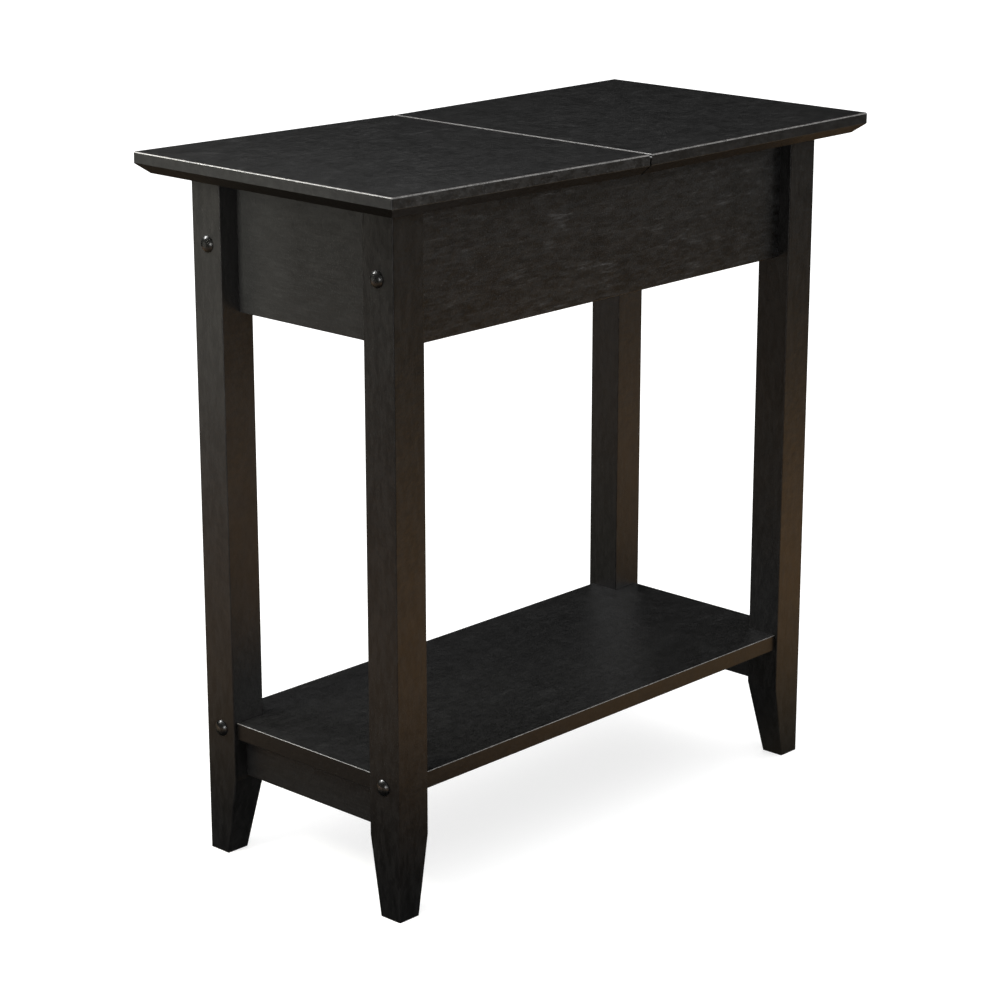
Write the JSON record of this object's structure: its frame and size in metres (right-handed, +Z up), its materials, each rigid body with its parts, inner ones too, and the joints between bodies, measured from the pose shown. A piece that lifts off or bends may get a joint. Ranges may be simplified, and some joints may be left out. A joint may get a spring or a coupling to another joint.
{
  "type": "narrow flip-top end table",
  "caption": "Narrow end table with a split top: the hinged half flips up over a storage compartment, above a low open shelf.",
  "frame": {"origin": "on the floor, under the middle of the top", "axes": "+X along the table from the lid end to the fixed end, +Y from the front to the back, +Z up"},
  "size_m": [0.6001, 0.3, 0.615],
  "materials": {
    "black_lacquered_wood": "satin black lacquer over wood, faint grain",
    "black_floor_board": "matte black faced hardboard",
    "bare_softwood": "bare sawn softwood",
    "beech_dowel": "bare beech",
    "black_hinge_metal": "satin black coated steel",
    "gunmetal_bolt": "polished dark nickel",
    "gunmetal_plug": "plastic in the colour of the bolts",
    "zinc_plated_steel": "bright zinc plate",
    "bumper_rubber": "matte black rubber"
  },
  "bodies": {
    "table": {"apron_barrel_nuts": "zinc_plated_steel", "apron_bolts": "gunmetal_bolt", "apron_dowels": "beech_dowel", "back_apron": "black_lacquered_wood", "bolt_plugs": "gunmetal_plug", "cleat_side_screws": "zinc_plated_steel", "cleat_top_screws": "zinc_plated_steel", "compartment_divider": "black_lacquered_wood", "compartment_floor": "black_floor_board", "divider_dowels": "beech_dowel", "end_panel_dowels": "beech_dowel", "end_rail_dowels": "beech_dowel", "fixed_top": "black_lacquered_wood", "front_apron": "black_lacquered_wood", "hinge_leaf_top": "black_hinge_metal", "hinge_pin": "black_hinge_metal", "hinge_screws_top": "black_hinge_metal", "left_end_panel": "black_lacquered_wood", "left_end_rail": "black_lacquered_wood", "leg_back_left": "black_lacquered_wood", "leg_back_right": "black_lacquered_wood", "leg_front_left": "black_lacquered_wood", "leg_front_right": "black_lacquered_wood", "lid_bumpers": "bumper_rubber", "right_end_panel": "black_lacquered_wood", "right_end_rail": "black_lacquered_wood", "shelf": "black_lacquered_wood", "shelf_barrel_nuts": "zinc_plated_steel", "shelf_bolts": "gunmetal_bolt", "top_cleat_back": "bare_softwood", "top_cleat_front": "bare_softwood"},
    "lid": {"lid_panel": "black_lacquered_wood", "hinge_leaf_lid": "black_hinge_metal", "hinge_screws_lid": "black_hinge_metal"}
  },
  "joints": [
    {"name": "lid_hinge", "type": "hinge", "parent": "table", "child": "lid", "pos_m": [0, 0, 0.6085], "axis": [0, 1, 0], "range_deg": [0, 100]}
  ]
}
